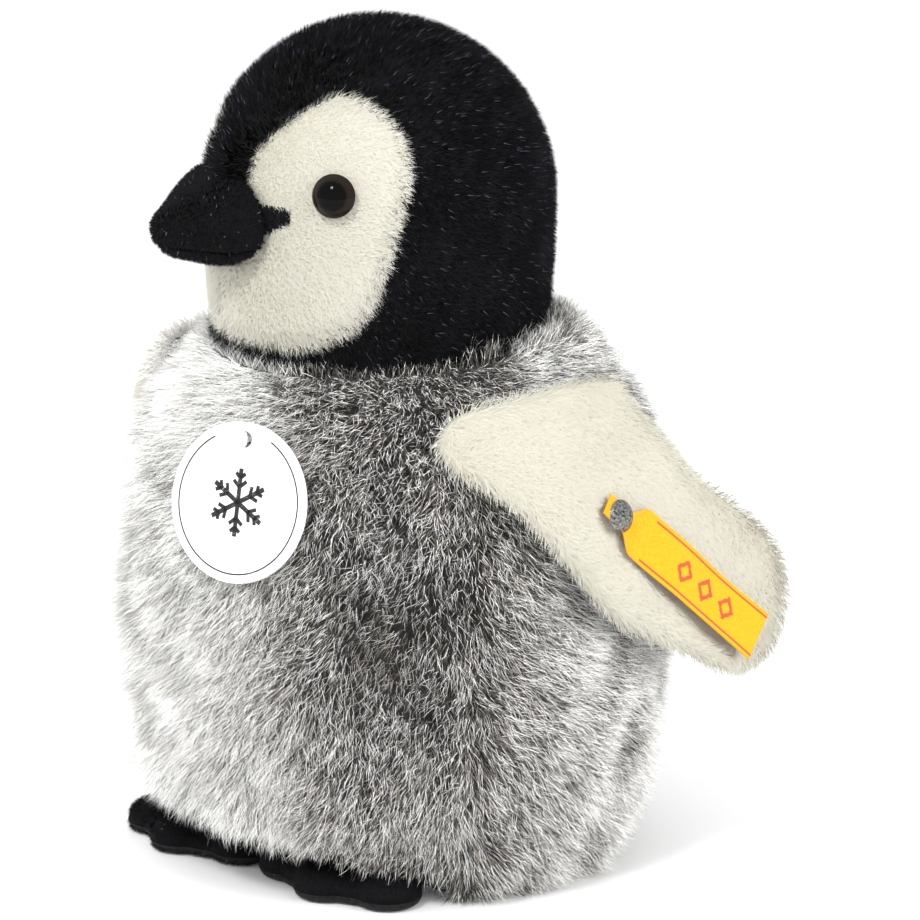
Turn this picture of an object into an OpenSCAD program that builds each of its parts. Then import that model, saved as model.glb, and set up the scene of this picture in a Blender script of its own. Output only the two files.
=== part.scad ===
// Plush baby penguin: a soft toy sewn from pile covers over stuffing.
// Millimetres, +Z up. The origin is on the floor under the middle of the body.
// The toy faces -Y, so its own left side is +X.

/* [Body] */
// Widest radius of the body, over the laid pile
body_r = 51; // [48:0.5:53]
// Height of the widest part of the body
belly_z = 40; // [34:1:48]
// Radius of the body at the floor
base_r = 41.5; // [40:0.5:43]
// Radius of the shoulders at the neck seam
shoulder_r = 37; // [36:0.5:38]
// Height of the neck seam
neck_z = 100; // [99:0.5:102]
// Thickness of the long-pile cover, pile and backing together
body_cover = 6; // [4:0.5:7]
// Angle from the front to each side seam
side_seam = 64; // [58:1:70]

/* [Head] */
// Radius of the head, over the short pile
head_r = 33; // [32:0.5:34]
// Height of the middle of the head, which is also its nodding centre
head_z = 127; // [126:0.5:128]
// How far the head's axis stands in front of the body's
head_forward = 4; // [2:0.5:5]
// How far the head is turned to the toy's right at rest
head_turn = 20; // [0:1:30]
// Thickness of the short-pile cover
head_cover = 3; // [2:0.5:4]
// Half the width of the black gusset over the forehead and crown
gusset_half = 9.3; // [7:0.1:11]
// Reach of the beak's tip from the head's axis
beak_reach = 45; // [42:0.5:50]

/* [Eyes] */
// Radius of an eye's clear dome
eye_r = 4; // [3:0.1:4.5]
// Angle from the face's front to each eye
eye_side = 52; // [44:1:56]
// Height of the eyes above the middle of the head
eye_rise = 5; // [2:0.5:8]

/* [Flippers] */
// Thickness of a flipper
flipper_t = 7.5; // [6:0.5:8]
// Lean of a flipper away from the body at rest
flipper_lean = 14; // [13:1:20]
// Radius of a flipper's rounded tip
flipper_tip_r = 15.5; // [13:0.5:17]
// Thickness of a flipper's pile panel
flipper_cover = 2.3; // [1.5:0.1:2.6]

/* [Feet] */
// Thickness of a foot
foot_t = 6; // [5:0.5:8]
// Thickness of a foot's velour cover
foot_cover = 1.4; // [1:0.1:2]
// Largest lift of the toes
foot_flex = 10; // [0:1:12]
// How far the pair of feet is set to the toy's right
feet_aside = 4.5; // [0:0.5:6]

/* [Tags] */
// Radius of the round card tag
tag_r = 14.6; // [12:0.1:17]
// Angle from the toy's front to the card tag, towards its left
tag_side = 12; // [0:1:20]
// Length of the woven ribbon beyond its rivet
ribbon_l = 39.5; // [24:0.5:42]
// Width of the woven ribbon
ribbon_w = 10; // [8:0.5:12]
// Radius of the rivet's domed cap
button_r = 3; // [2.5:0.1:3.5]

/* [Hidden] */

// Colours
charcoal_grey = "#8f8f8f";
black_pile = "#1c1c20";
cream_pile = "#ece8dc";
white_fill = "#f4f4f0";
metal_grey = "#b4b4b0";
ribbon_yellow = "#f4c63a";

// Round surfaces and the outlines that are turned
round_fn = 72;
profile_steps = 26;
far = 200;

// Gap between parts that move past each other
run_gap = 0.5;

// The head's underside and the seat for it are spheres about the head's centre
neck_rim_r = 31.6;
neck_ball_r = norm([neck_rim_r, head_z - neck_z - 0.5]);
neck_pad_r = 20;
neck_pad_z = 78;

// Base and feet
gusset_t = 3;
heel_y = 18.5;
foot_gap = 1.4;
room_flare = 2;
heel_r = 5;
heels = [[10, -heel_y - heel_r], [28, -heel_y - heel_r]];
toes = [[7, -29.5], [20, -33], [31.5, -28.5]];
toe_r = 6.4;
foot_fill_inset = 2;
foot_fill_t = 2.5;

// Pellet bag
pellet_r = 27;
pellet_h = 16;
pellet_z = 12.5;

// Cheek outline, seen from the side about the head's centre: an upper and a lower circle
cheek_upper = [-18.5, 11.5];
cheek_upper_r = 11;
cheek_lower = [-29, -8];
cheek_lower_r = 16.3;
brow_lean = 35;
chin_z = head_z - 24;

// Beak, about the head's centre
beak_base = [7.2, -30.5, -2];
beak_base_r = 8.6;
beak_tip_r = 5.8;
beak_tip_z = -3.4;
beak_cover = 1.2;
beak_fn = 36;
mouth_z = -6.8;
gusset_foot_z = head_z + 5;
brow_z = head_z + 11.4;

// Eyes
iris_r = eye_r - 0.5;
iris_t = 0.6;
lens_t = 2.4;
shank_r = 1.2;
shank_l = 6.5;
eye_washer_r = 4;
eye_washer_t = 1;
shank_fit = 0.1;
eye_tilt = asin(eye_rise / head_r);

// Flippers: hinge line on the shoulder, and the three circles of the paddle outline
hinge_x = 45.5;
hinge_z = 94;
hinge_roll_r = 2.6;
hinge_roll = [-24, 7];
paddle_root = [-9, -5];
paddle_root_r = 19;
paddle_bend = [7.5, -27];
paddle_bend_r = 17;
paddle_tip = [28, -40.5];
flipper_inset = 3.4;

// Woven ribbon and its rivet, in the flipper's own plane
button_at = [0, -22];
ribbon_turn = -45;
ribbon_t = 0.5;
ribbon_root_l = 4;
stem_r = 0.8;
cap_h = 1.6;
rivet_washer_r = 2.6;
rivet_washer_t = 0.6;

// Card tag and its pin
tag_t = 0.8;
tag_z = 77;
tag_off = 1.2;
tag_hole_r = 1.5;
tag_hole_up = 11.5;
pin_r = 0.5;
pin_l = 4.6;
pin_head_r = 2;
pin_head_t = 0.6;

// ---- shared shapes ----

function body_radius(z) = z > belly_z
    ? body_r - (body_r - shoulder_r) * pow((z - belly_z) / (neck_z - belly_z), 4)
    : body_r - (body_r - base_r) * pow((belly_z - z) / belly_z, 2);

function head_radius(z) = z > head_z
    ? sqrt(max(pow(head_r, 2) - pow(z - head_z, 2), 0))
    : head_r - (head_r - neck_rim_r) * pow((head_z - z) / (head_z - neck_z), 2);

function steps(low, high, count) = [for (i = [0:count]) low + (high - low) * i / count];

// The body's outer form, moved in by inset
module body_form(inset) {
    rotate_extrude($fn = round_fn)
        polygon([
            [0, 0],
            for (z = steps(0, neck_z, profile_steps)) [body_radius(z) - inset, z],
            [0, neck_z]
        ]);
}

// The layer above the floor that the base gusset fills
module base_layer() {
    translate([0, 0, gusset_t / 2])
        cube([far, far, gusset_t], center = true);
}

// The head's outer form, moved in by inset, above its spherical underside
module head_form(inset) {
    crown = head_r - inset;
    intersection() {
        rotate_extrude($fn = round_fn)
            polygon([
                [0, head_z - neck_ball_r],
                for (z = steps(head_z - neck_ball_r, head_z, profile_steps / 2)) [head_radius(z) - inset, z],
                for (a = steps(0, 90, profile_steps / 2)) [crown * cos(a), head_z + crown * sin(a)]
            ]);
        translate([0, 0, head_z])
            sphere(neck_ball_r - inset, $fn = round_fn);
    }
}

// Puts the head's pieces on the head's axis, turned as they rest
module on_head() {
    translate([0, -head_forward, 0])
        rotate([0, 0, -head_turn])
            children();
}

// Mirrors a left-hand piece to the toy's right when side is -1
module sided(side) {
    mirror([side < 0 ? 1 : 0, 0, 0])
        children();
}

// A wedge about the Z axis between two angles counted from the front towards the toy's left
module wedge(from, to) {
    middle = (from + to) / 2;
    translate([0, 0, -1])
        linear_extrude(far)
            polygon([
                [0, 0],
                for (a = [from, middle, to]) [far * sin(a), -far * cos(a)]
            ]);
}

// Two circles joined by their tangents
module tapered_slot(a, a_r, b, b_r) {
    run = norm(b - a);
    heading = atan2(b[1] - a[1], b[0] - a[0]);
    lean = acos((a_r - b_r) / run);
    translate(a)
        circle(a_r, $fn = round_fn);
    translate(b)
        circle(b_r, $fn = round_fn);
    polygon([
        a + a_r * [cos(heading + lean), sin(heading + lean)],
        a + a_r * [cos(heading - lean), sin(heading - lean)],
        b + b_r * [cos(heading - lean), sin(heading - lean)],
        b + b_r * [cos(heading + lean), sin(heading + lean)]
    ]);
}

// Space for the toes under the front of the body; grow makes it larger all round
module foot_room(grow) {
    back = -heel_y + foot_gap + grow;
    roof = foot_t + foot_gap / 2 + grow;
    rise = (far - heel_y) * tan(foot_flex + room_flare);
    rotate([90, 0, 90])
        translate([0, 0, -far / 2])
            linear_extrude(far)
                polygon([[back, -1], [back, roof], [-far, roof + rise], [-far, -1]]);
}

// The spherical seat that the head turns in
module head_seat() {
    translate([0, -head_forward, head_z])
        sphere(neck_ball_r + run_gap, $fn = round_fn);
}

module neck_pocket(clearance) {
    translate([0, -head_forward, neck_pad_z - clearance])
        cylinder(h = far, r = neck_pad_r + clearance, $fn = round_fn);
}

// ---- body ----

module body_shell() {
    difference() {
        body_form(0);
        body_form(body_cover);
        foot_room(0);
        head_seat();
    }
}

module body_panel(from, to) {
    color(charcoal_grey)
        intersection() {
            body_shell();
            wedge(from, to);
        }
}

module belly_panel() {
    difference() {
        body_panel(-side_seam, side_seam);
        on_chest(tag_hole_up)
            cylinder(h = 2 * body_cover, r = pin_r + shank_fit, center = true, $fn = 24);
    }
}

module base_gusset() {
    color(charcoal_grey)
        difference() {
            intersection() {
                body_form(body_cover);
                union() {
                    base_layer();
                    foot_room(gusset_t);
                }
            }
            foot_room(0);
        }
}

module pellets() {
    translate([0, heel_y / 2, pellet_z])
        cylinder(h = pellet_h, r = pellet_r, $fn = round_fn);
}

module body_stuffing() {
    color(white_fill)
        difference() {
            body_form(body_cover);
            base_layer();
            foot_room(gusset_t);
            head_seat();
            neck_pocket(run_gap);
            pellets();
            on_chest(tag_hole_up)
                cylinder(h = 4 * body_cover, r = pin_r + shank_fit, center = true, $fn = 24);
        }
}

module pellet_bag() {
    color("#d8d4c8")
        pellets();
}

module neck_stuffing() {
    color(white_fill)
        difference() {
            translate([0, -head_forward, neck_pad_z])
                cylinder(h = neck_z - neck_pad_z, r = neck_pad_r, $fn = round_fn);
            head_seat();
        }
}

// ---- head ----

module head_shell() {
    difference() {
        head_form(0);
        head_form(head_cover);
    }
}

// The side outline of a cheek, carried right through the head along X
module cheek_block(width) {
    rotate([90, 0, 90])
        linear_extrude(width)
            translate([0, head_z])
                tapered_slot(cheek_upper, cheek_upper_r, cheek_lower, cheek_lower_r);
}

// The cheek's room on the left half: beside the gusset, slanting outwards above the brow, and right to the
// middle below the gusset's foot
module cheek_room() {
    spread = far * tan(brow_lean);
    intersection() {
        cheek_block(far);
        rotate([90, 0, 0])
            linear_extrude(far)
                polygon([
                    [0, chin_z],
                    [0, gusset_foot_z],
                    [gusset_half, gusset_foot_z],
                    [gusset_half, brow_z],
                    [gusset_half + spread, brow_z + far],
                    [gusset_half + spread, chin_z]
                ]);
    }
}

module left_half() {
    translate([0, -far / 2, 0])
        cube([far, far, far]);
}

module gusset_room() {
    difference() {
        translate([-gusset_half, -far / 2, 0])
            cube([2 * gusset_half, far, far]);
        translate([-far / 2, -far, 0])
            cube([far, far, gusset_foot_z]);
    }
}

module cheek_panel(side) {
    color(cream_pile)
        on_head()
            sided(side)
                difference() {
                    intersection() {
                        head_shell();
                        cheek_room();
                    }
                    on_eye()
                        cylinder(h = 3 * shank_l, r = shank_r + shank_fit, center = true, $fn = 24);
                }
}

module head_panel(side) {
    color(black_pile)
        on_head()
            sided(side)
                difference() {
                    intersection() {
                        head_shell();
                        left_half();
                    }
                    cheek_room();
                    gusset_room();
                }
}

module forehead_gusset() {
    color(black_pile)
        on_head()
            intersection() {
                head_shell();
                gusset_room();
            }
}

module head_stuffing() {
    color(white_fill)
        on_head()
            difference() {
                head_form(head_cover);
                for (side = [1, -1])
                    sided(side)
                        on_eye()
                            translate([0, 0, -shank_l - eye_washer_t])
                                cylinder(h = far, r = eye_washer_r + shank_fit, $fn = round_fn);
            }
}

// ---- beak ----

module beak_form(inset) {
    hull() {
        for (x = [-beak_base[0], beak_base[0]])
            translate([x, beak_base[1], beak_base[2]])
                sphere(beak_base_r - inset, $fn = beak_fn);
        translate([0, -beak_reach + beak_tip_r, beak_tip_z])
            sphere(beak_tip_r - inset, $fn = beak_fn);
    }
}

module beak_half(upper) {
    color(black_pile)
        on_head()
            difference() {
                translate([0, 0, head_z])
                    intersection() {
                        difference() {
                            beak_form(0);
                            beak_form(beak_cover);
                        }
                        translate([-far / 2, -far, upper ? mouth_z : mouth_z - far])
                            cube([far, far, far]);
                    }
                head_form(0);
            }
}

module beak_stuffing() {
    color(white_fill)
        on_head()
            difference() {
                translate([0, 0, head_z])
                    beak_form(beak_cover);
                head_form(0);
            }
}

// ---- eyes ----

// Places an eye piece with its own +Z pointing out of the left cheek
module on_eye() {
    translate([0, 0, head_z])
        rotate([0, 0, eye_side - 90])
            rotate([0, 90 - eye_tilt, 0])
                translate([0, 0, head_r])
                    children();
}

module placed_eye(side) {
    on_head()
        sided(side)
            on_eye()
                children();
}

module eye_lens(side) {
    dome_r = (pow(eye_r, 2) + pow(lens_t, 2)) / (2 * lens_t);
    color([0.1, 0.08, 0.07, 0.6])
        placed_eye(side)
            intersection() {
                translate([0, 0, iris_t + lens_t - dome_r])
                    sphere(dome_r, $fn = round_fn);
                translate([0, 0, iris_t])
                    cylinder(h = far, r = eye_r, $fn = round_fn);
            }
}

module iris(side) {
    color("#3a2c22")
        placed_eye(side)
            cylinder(h = iris_t, r = iris_r, $fn = round_fn);
}

module eye_shank(side) {
    color(metal_grey)
        placed_eye(side)
            translate([0, 0, -shank_l])
                cylinder(h = shank_l, r = shank_r, $fn = 32);
}

module eye_washer(side) {
    color(metal_grey)
        placed_eye(side)
            translate([0, 0, -shank_l])
                difference() {
                    cylinder(h = eye_washer_t, r = eye_washer_r, $fn = round_fn);
                    cylinder(h = 3 * eye_washer_t, r = shank_r, center = true, $fn = 32);
                }
}

// ---- flippers ----

// Places a flat flipper piece: its own X runs to the toy's back, Y up and Z outwards
module on_flipper() {
    translate([hinge_x, 0, hinge_z])
        rotate([0, -flipper_lean, 0])
            rotate([90, 0, 90])
                children();
}

module paddle(inset) {
    intersection() {
        union() {
            tapered_slot(paddle_root, paddle_root_r - inset, paddle_bend, paddle_bend_r - inset);
            tapered_slot(paddle_bend, paddle_bend_r - inset, paddle_tip, flipper_tip_r - inset);
        }
        translate([-far / 2, -far - inset])
            square([far, far]);
    }
}

module flipper_fill() {
    translate([0, 0, flipper_cover])
        linear_extrude(flipper_t - 2 * flipper_cover)
            paddle(flipper_inset);
}

module stem_hole() {
    translate(button_at)
        cylinder(h = far, r = stem_r + shank_fit, center = true, $fn = 24);
}

module flipper_tray(low, high) {
    difference() {
        translate([0, 0, low])
            linear_extrude(high - low)
                paddle(0);
        flipper_fill();
    }
}

module flipper_front(side) {
    color(cream_pile)
        sided(side)
            on_flipper()
                difference() {
                    flipper_tray(flipper_t / 2, flipper_t);
                    if (side > 0)
                        stem_hole();
                }
}

module flipper_back(side) {
    color(charcoal_grey)
        sided(side)
            on_flipper()
                difference() {
                    union() {
                        flipper_tray(0, flipper_t / 2);
                        translate([hinge_roll[0], 0, 0])
                            rotate([0, 90, 0])
                                cylinder(h = hinge_roll[1] - hinge_roll[0], r = hinge_roll_r, $fn = 48);
                    }
                    if (side > 0) {
                        stem_hole();
                        rivet_pocket();
                    }
                }
}

module flipper_wadding(side) {
    color(white_fill)
        sided(side)
            on_flipper()
                difference() {
                    flipper_fill();
                    if (side > 0)
                        stem_hole();
                }
}

// ---- woven ribbon and rivet ----

module rivet_pocket() {
    translate([button_at[0], button_at[1], -1])
        cylinder(h = 1 + rivet_washer_t, r = rivet_washer_r + shank_fit, $fn = round_fn);
}

// Places a ribbon piece: its own X runs along the ribbon from the rivet's middle, and Z outwards
module on_ribbon() {
    on_flipper()
        translate([button_at[0], button_at[1], flipper_t])
            rotate([0, 0, ribbon_turn])
                children();
}

module button_cap() {
    dome_r = (pow(button_r, 2) + pow(cap_h, 2)) / (2 * cap_h);
    color(metal_grey)
        on_ribbon()
            union() {
                intersection() {
                    translate([0, 0, ribbon_t + cap_h - dome_r])
                        sphere(dome_r, $fn = round_fn);
                    translate([0, 0, ribbon_t])
                        cylinder(h = far, r = button_r, $fn = round_fn);
                }
                translate([0, 0, -flipper_t])
                    cylinder(h = flipper_t + ribbon_t + cap_h / 2, r = stem_r, $fn = 32);
            }
}

module button_washer() {
    color(metal_grey)
        on_ribbon()
            translate([0, 0, -flipper_t])
                difference() {
                    cylinder(h = rivet_washer_t, r = rivet_washer_r, $fn = round_fn);
                    cylinder(h = far, r = stem_r, center = true, $fn = 32);
                }
}

module label_root() {
    color(ribbon_yellow)
        on_ribbon()
            difference() {
                translate([-ribbon_root_l, -ribbon_w / 2, 0])
                    cube([2 * ribbon_root_l, ribbon_w, ribbon_t]);
                cylinder(h = far, r = stem_r, center = true, $fn = 32);
            }
}

module label_ribbon() {
    color(ribbon_yellow)
        on_ribbon()
            translate([ribbon_root_l + run_gap, -ribbon_w / 2, 0])
                cube([ribbon_l - ribbon_root_l - run_gap, ribbon_w, ribbon_t]);
}

// ---- card tag ----

// Places a piece against the chest: its own Z points out of the belly and Y up it
module on_chest(up) {
    slope = atan((body_radius(tag_z - 2) - body_radius(tag_z + 2)) / 4);
    translate([body_radius(tag_z) * sin(tag_side), -body_radius(tag_z) * cos(tag_side), tag_z])
        rotate([0, 0, tag_side])
            rotate([90 - slope, 0, 0])
                translate([0, up, 0])
                    children();
}

module swing_tag() {
    color("white")
        on_chest(0)
            translate([0, 0, tag_off])
                difference() {
                    cylinder(h = tag_t, r = tag_r, $fn = 96);
                    translate([0, tag_hole_up, 0])
                        cylinder(h = 3 * tag_t, r = tag_hole_r, center = true, $fn = 32);
                }
}

module tag_pin() {
    color("#e8e8e8")
        on_chest(tag_hole_up)
            union() {
                translate([0, 0, -body_cover])
                    cylinder(h = body_cover + pin_l, r = pin_r, $fn = 24);
                translate([0, 0, pin_l - pin_head_t])
                    cylinder(h = pin_head_t, r = pin_head_r, $fn = 32);
            }
}

// ---- feet ----

// The outline of the left foot, with three webbed toes
module foot_outline(inset) {
    intersection() {
        union() {
            for (strap = [[heels[0], toes[0]], [heels[0], toes[1]], [heels[1], toes[1]], [heels[1], toes[2]]])
                tapered_slot(strap[0], heel_r - inset, strap[1], toe_r - inset);
            tapered_slot(heels[0], heel_r - inset, heels[1], heel_r - inset);
        }
        translate([0, -far])
            square([far, far]);
    }
}

// Puts the left foot's pieces, or their mirror image, in the foot's place
module on_foot(side) {
    translate([-feet_aside, 0, 0])
        sided(side)
            children();
}

module foot_fill() {
    translate([0, 0, foot_cover])
        linear_extrude(foot_fill_t)
            foot_outline(foot_fill_inset);
}

module foot_top(side) {
    color(black_pile)
        on_foot(side)
            difference() {
                translate([0, 0, foot_cover])
                    linear_extrude(foot_t - foot_cover)
                        foot_outline(0);
                foot_fill();
            }
}

module foot_sole(side) {
    color(black_pile)
        on_foot(side)
            linear_extrude(foot_cover)
                foot_outline(0);
}

module foot_wadding(side) {
    color(white_fill)
        on_foot(side)
            foot_fill();
}

// ---- the assembly ----

belly_panel();
body_panel(side_seam, 180);  // back_left_panel
body_panel(-180, -side_seam);  // back_right_panel
base_gusset();
body_stuffing();
pellet_bag();
tag_pin();
neck_stuffing();
forehead_gusset();
head_panel(1);  // head_left_panel
head_panel(-1);  // head_right_panel
cheek_panel(1);  // left_cheek_panel
cheek_panel(-1);  // right_cheek_panel
head_stuffing();
beak_half(true);  // upper_beak
beak_half(false);  // lower_beak
beak_stuffing();
eye_lens(1);  // left_eye_lens
iris(1);  // left_iris
eye_shank(1);  // left_eye_shank
eye_washer(1);  // left_eye_washer
eye_lens(-1);  // right_eye_lens
iris(-1);  // right_iris
eye_shank(-1);  // right_eye_shank
eye_washer(-1);  // right_eye_washer
flipper_front(1);  // left_flipper_front
flipper_back(1);  // left_flipper_back
flipper_wadding(1);  // left_flipper_wadding
flipper_front(-1);  // right_flipper_front
flipper_back(-1);  // right_flipper_back
flipper_wadding(-1);  // right_flipper_wadding
button_cap();
button_washer();
label_root();
label_ribbon();
swing_tag();
foot_top(1);  // left_foot_top
foot_sole(1);  // left_foot_sole
foot_wadding(1);  // left_foot_wadding
foot_top(-1);  // right_foot_top
foot_sole(-1);  // right_foot_sole
foot_wadding(-1);  // right_foot_wadding
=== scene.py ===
"""Looks of the plush baby penguin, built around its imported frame.

Sewn covers are closed padded shells, most of them made from the frame's own panels, and the pile stands on
them strand by strand. Lengths are in millimetres and angles in degrees, apart from the camera and the lights.
"""

import math

import bmesh
import bpy
import numpy as np
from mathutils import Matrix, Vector
from mathutils.kdtree import KDTree


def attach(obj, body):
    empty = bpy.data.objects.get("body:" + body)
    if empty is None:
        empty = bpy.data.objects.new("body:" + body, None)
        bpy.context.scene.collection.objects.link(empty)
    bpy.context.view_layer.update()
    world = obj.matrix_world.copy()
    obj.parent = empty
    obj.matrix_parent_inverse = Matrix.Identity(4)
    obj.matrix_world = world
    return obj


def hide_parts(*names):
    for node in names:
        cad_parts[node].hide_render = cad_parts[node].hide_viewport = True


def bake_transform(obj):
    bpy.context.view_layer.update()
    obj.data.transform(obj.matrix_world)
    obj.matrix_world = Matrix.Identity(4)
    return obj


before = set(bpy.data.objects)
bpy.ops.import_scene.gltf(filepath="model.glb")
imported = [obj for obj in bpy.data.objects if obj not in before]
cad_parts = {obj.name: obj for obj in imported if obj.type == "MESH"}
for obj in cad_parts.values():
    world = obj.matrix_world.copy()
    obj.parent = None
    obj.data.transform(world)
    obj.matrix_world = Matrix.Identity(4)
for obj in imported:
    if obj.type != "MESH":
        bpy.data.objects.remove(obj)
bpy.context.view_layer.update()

MM = 0.001

# ---- the frame's own sizes ----

BODY_R = 51.0
BELLY_Z = 40.0
BASE_R = 41.5
SHOULDER_R = 37.0
NECK_Z = 100.0
BODY_COVER = 6.0
SIDE_SEAM = 64.0  # angle from the front

HEAD_R = 33.0
HEAD_Z = 127.0
HEAD_Y = -4.0
HEAD_TURN = 20.0
HEAD_COVER = 3.0
NECK_RIM_R = 31.6
NECK_BALL_R = math.hypot(NECK_RIM_R, HEAD_Z - NECK_Z - 0.5)
CHEEK = [((-18.5, 11.5), 11.0), ((-29.0, -8.0), 16.3)]  # circles in the plane of Y and height about HEAD_Z

EYE_R = 4.0
EYE_SIDE = 52.0
EYE_RISE = 5.0
EYE_TILT = math.degrees(math.asin(EYE_RISE / HEAD_R))
IRIS_T = 0.6
LENS_T = 2.4

BEAK_BASE = (7.2, -30.5, -2.0)
BEAK_BASE_R = 8.6
BEAK_TIP_R = 5.8
BEAK_TIP_Z = -3.4
BEAK_REACH = 45.0

HINGE_X = 45.5
HINGE_Z = 94.0
FLIPPER_LEAN = 14.0
FLIPPER_T = 7.5
PADDLE_TIP = ((28.0, -40.5), 15.5)

BUTTON_AT = (0.0, -22.0)
RIBBON_TURN = -45.0
RIBBON_L = 39.5
RIBBON_W = 10.0
RIBBON_T = 0.5
RIBBON_ROOT_L = 4.0

TAG_R = 14.6
TAG_T = 0.8
TAG_SIDE = 12.0
TAG_Z = 77.0
TAG_OFF = 1.2

FOOT_T = 6.0
FEET_ASIDE = 4.5
HEEL_Y = 18.5
HEELS = [((10.0, -HEEL_Y - 5), 5.0), ((28.0, -HEEL_Y - 5), 5.0)]
TOES = [((7.0, -29.5), 6.4), ((20.0, -33.0), 6.4), ((31.5, -28.5), 6.4)]
TOE_SLOTS = [(0, 0), (0, 1), (1, 1), (1, 2)]  # which heel each toe is joined to


# ---- numbers and directions ----


def unit(v):
    """Vectors scaled to length 1."""
    return v / np.maximum(np.linalg.norm(v, axis=-1, keepdims=True), 1e-9)


def smooth(low, high, x):
    """0 at low, 1 at high, and smooth between them. It falls where low is the larger."""
    t = np.clip((x - low) / (high - low), 0, 1)
    return t * t * (3 - 2 * t)


def turned(p, axis, degrees):
    """Points turned about a coordinate axis through the origin."""
    a, b = [(1, 2), (2, 0), (0, 1)]["xyz".index(axis)]
    c, s = math.cos(math.radians(degrees)), math.sin(math.radians(degrees))
    out = np.array(p, float)
    out[..., a], out[..., b] = c * p[..., a] - s * p[..., b], s * p[..., a] + c * p[..., b]
    return out


def body_radius(z):
    """Radius of the body over its pile."""
    over = SHOULDER_R - BODY_R
    under = BASE_R - BODY_R
    return BODY_R + np.where(
        z > BELLY_Z,
        over * np.clip((z - BELLY_Z) / (NECK_Z - BELLY_Z), 0, 1.1) ** 4,
        under * np.clip((BELLY_Z - z) / BELLY_Z, 0, 1.1) ** 2,
    )


def head_radius(z):
    """Radius of the head over its pile: a ball that narrows a little to the neck's rim."""
    ball = np.sqrt(np.maximum(HEAD_R**2 - (z - HEAD_Z) ** 2, 0))
    jaw = HEAD_R - (HEAD_R - NECK_RIM_R) * ((HEAD_Z - z) / (HEAD_Z - NECK_Z)) ** 2
    return np.where(z > HEAD_Z, ball, jaw)


def head_place(p):
    """Points given about the head's axis, as they rest."""
    return turned(p, "z", -HEAD_TURN) + [0, HEAD_Y, 0]


def head_local(p):
    """Resting points, given about the head's axis with the face to the front."""
    return turned(p - [0, HEAD_Y, 0], "z", HEAD_TURN)


def flipper_place(p):
    """Points of the left flipper's own plane (X to the back, Y up, Z outwards), as they rest."""
    q = np.stack([p[..., 2], p[..., 0], p[..., 1]], -1)
    return turned(q, "y", -FLIPPER_LEAN) + [HINGE_X, 0, HINGE_Z]


def flipper_local(p):
    """Resting points of the left flipper, given in its own plane."""
    q = turned(p - [HINGE_X, 0, HINGE_Z], "y", FLIPPER_LEAN)
    return np.stack([q[..., 1], q[..., 2], q[..., 0]], -1)


def chest_place(p):
    """Points of the chest's own plane at the card tag (Z out of the belly, Y up it), as they rest."""
    slope = math.degrees(math.atan((body_radius(TAG_Z - 2) - body_radius(TAG_Z + 2)) / 4))
    r = float(body_radius(TAG_Z))
    side = math.radians(TAG_SIDE)
    q = turned(turned(p, "x", 90 - slope), "z", TAG_SIDE)
    return q + [r * math.sin(side), -r * math.cos(side), TAG_Z]


def eye_place(p):
    """Points with +Z out of the left cheek at the eye, about the head's axis."""
    q = p + [0, 0, HEAD_R]
    return turned(turned(q, "y", 90 - EYE_TILT), "z", EYE_SIDE - 90) + [0, 0, HEAD_Z]


def mirrored(p, side):
    """Points of the toy's left, moved to the side: 1 is its left and -1 its right."""
    return p * [side, 1, 1]


def ripple(p, wave, seed):
    """Smooth noise from about -1 to 1 with a typical wavelength, at each point."""
    rng = np.random.default_rng(seed)
    count = 9
    waves = unit(rng.normal(size=(count, 3))) * (2 * math.pi / wave) * rng.uniform(0.6, 1.5, (count, 1))
    return np.sin(p @ waves.T + rng.uniform(0, 6.28, count)).sum(1) / math.sqrt(count / 2) / 1.4


# ---- meshes ----


def add_object(name, mesh, materials=()):
    """An object in the scene, with its materials in order."""
    obj = bpy.data.objects.new(name, mesh)
    bpy.context.scene.collection.objects.link(obj)
    for m in materials:
        mesh.materials.append(m)
    return obj


def mesh_of(name, points, faces, soft=True):
    """A mesh from points in millimetres and faces as index lists."""
    mesh = bpy.data.meshes.new(name)
    mesh.from_pydata((np.asarray(points) * MM).tolist(), [], [list(map(int, f)) for f in faces])
    mesh.validate()
    mesh.polygons.foreach_set("use_smooth", [soft] * len(mesh.polygons))
    mesh.update()
    return mesh


def read_points(mesh):
    """A mesh's points in millimetres."""
    co = np.empty(len(mesh.vertices) * 3)
    mesh.vertices.foreach_get("co", co)
    return co.reshape(-1, 3) / MM


def write_points(mesh, points):
    """Moves a mesh's points, given in millimetres."""
    mesh.vertices.foreach_set("co", (points * MM).ravel())
    mesh.update()


def modify(obj, kind, **settings):
    """Gives an object the mesh that a modifier makes of it."""
    modifier = obj.modifiers.new(kind.lower(), kind)
    for key, value in settings.items():
        setattr(modifier, key, value)
    graph = bpy.context.evaluated_depsgraph_get()
    mesh = bpy.data.meshes.new_from_object(obj.evaluated_get(graph))
    obj.modifiers.clear()
    obj.data = mesh


def shell(name, points, faces, cloth):
    """A closed object from points in millimetres, with its faces turned outwards."""
    mesh = mesh_of(name, points, faces)
    bm = bmesh.new()
    bm.from_mesh(mesh)
    bmesh.ops.recalc_face_normals(bm, faces=bm.faces)
    bm.to_mesh(mesh)
    bm.free()
    return add_object(name, mesh, [cloth])


def cover(cad, name, fit, cloth, pitch):
    """A sewn cover made from a frame panel: remeshed, moved by fit, its edges rounded into the seams."""
    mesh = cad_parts[cad].data.copy()
    mesh.materials.clear()
    obj = add_object(name, mesh)
    modify(obj, "REMESH", mode="VOXEL", voxel_size=pitch * MM)
    write_points(obj.data, fit(read_points(obj.data)))
    modify(obj, "SMOOTH", factor=0.5, iterations=3)
    obj.data.polygons.foreach_set("use_smooth", [True] * len(obj.data.polygons))
    obj.data.materials.append(cloth)
    return obj


def sewn(obj, body, slot, fill, *replaced):
    """Attaches a padded cover to its body and hides the frame's solids that it stands for; slot and fill are
    not used.
    """
    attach(obj, body)
    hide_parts(*replaced)


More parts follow.
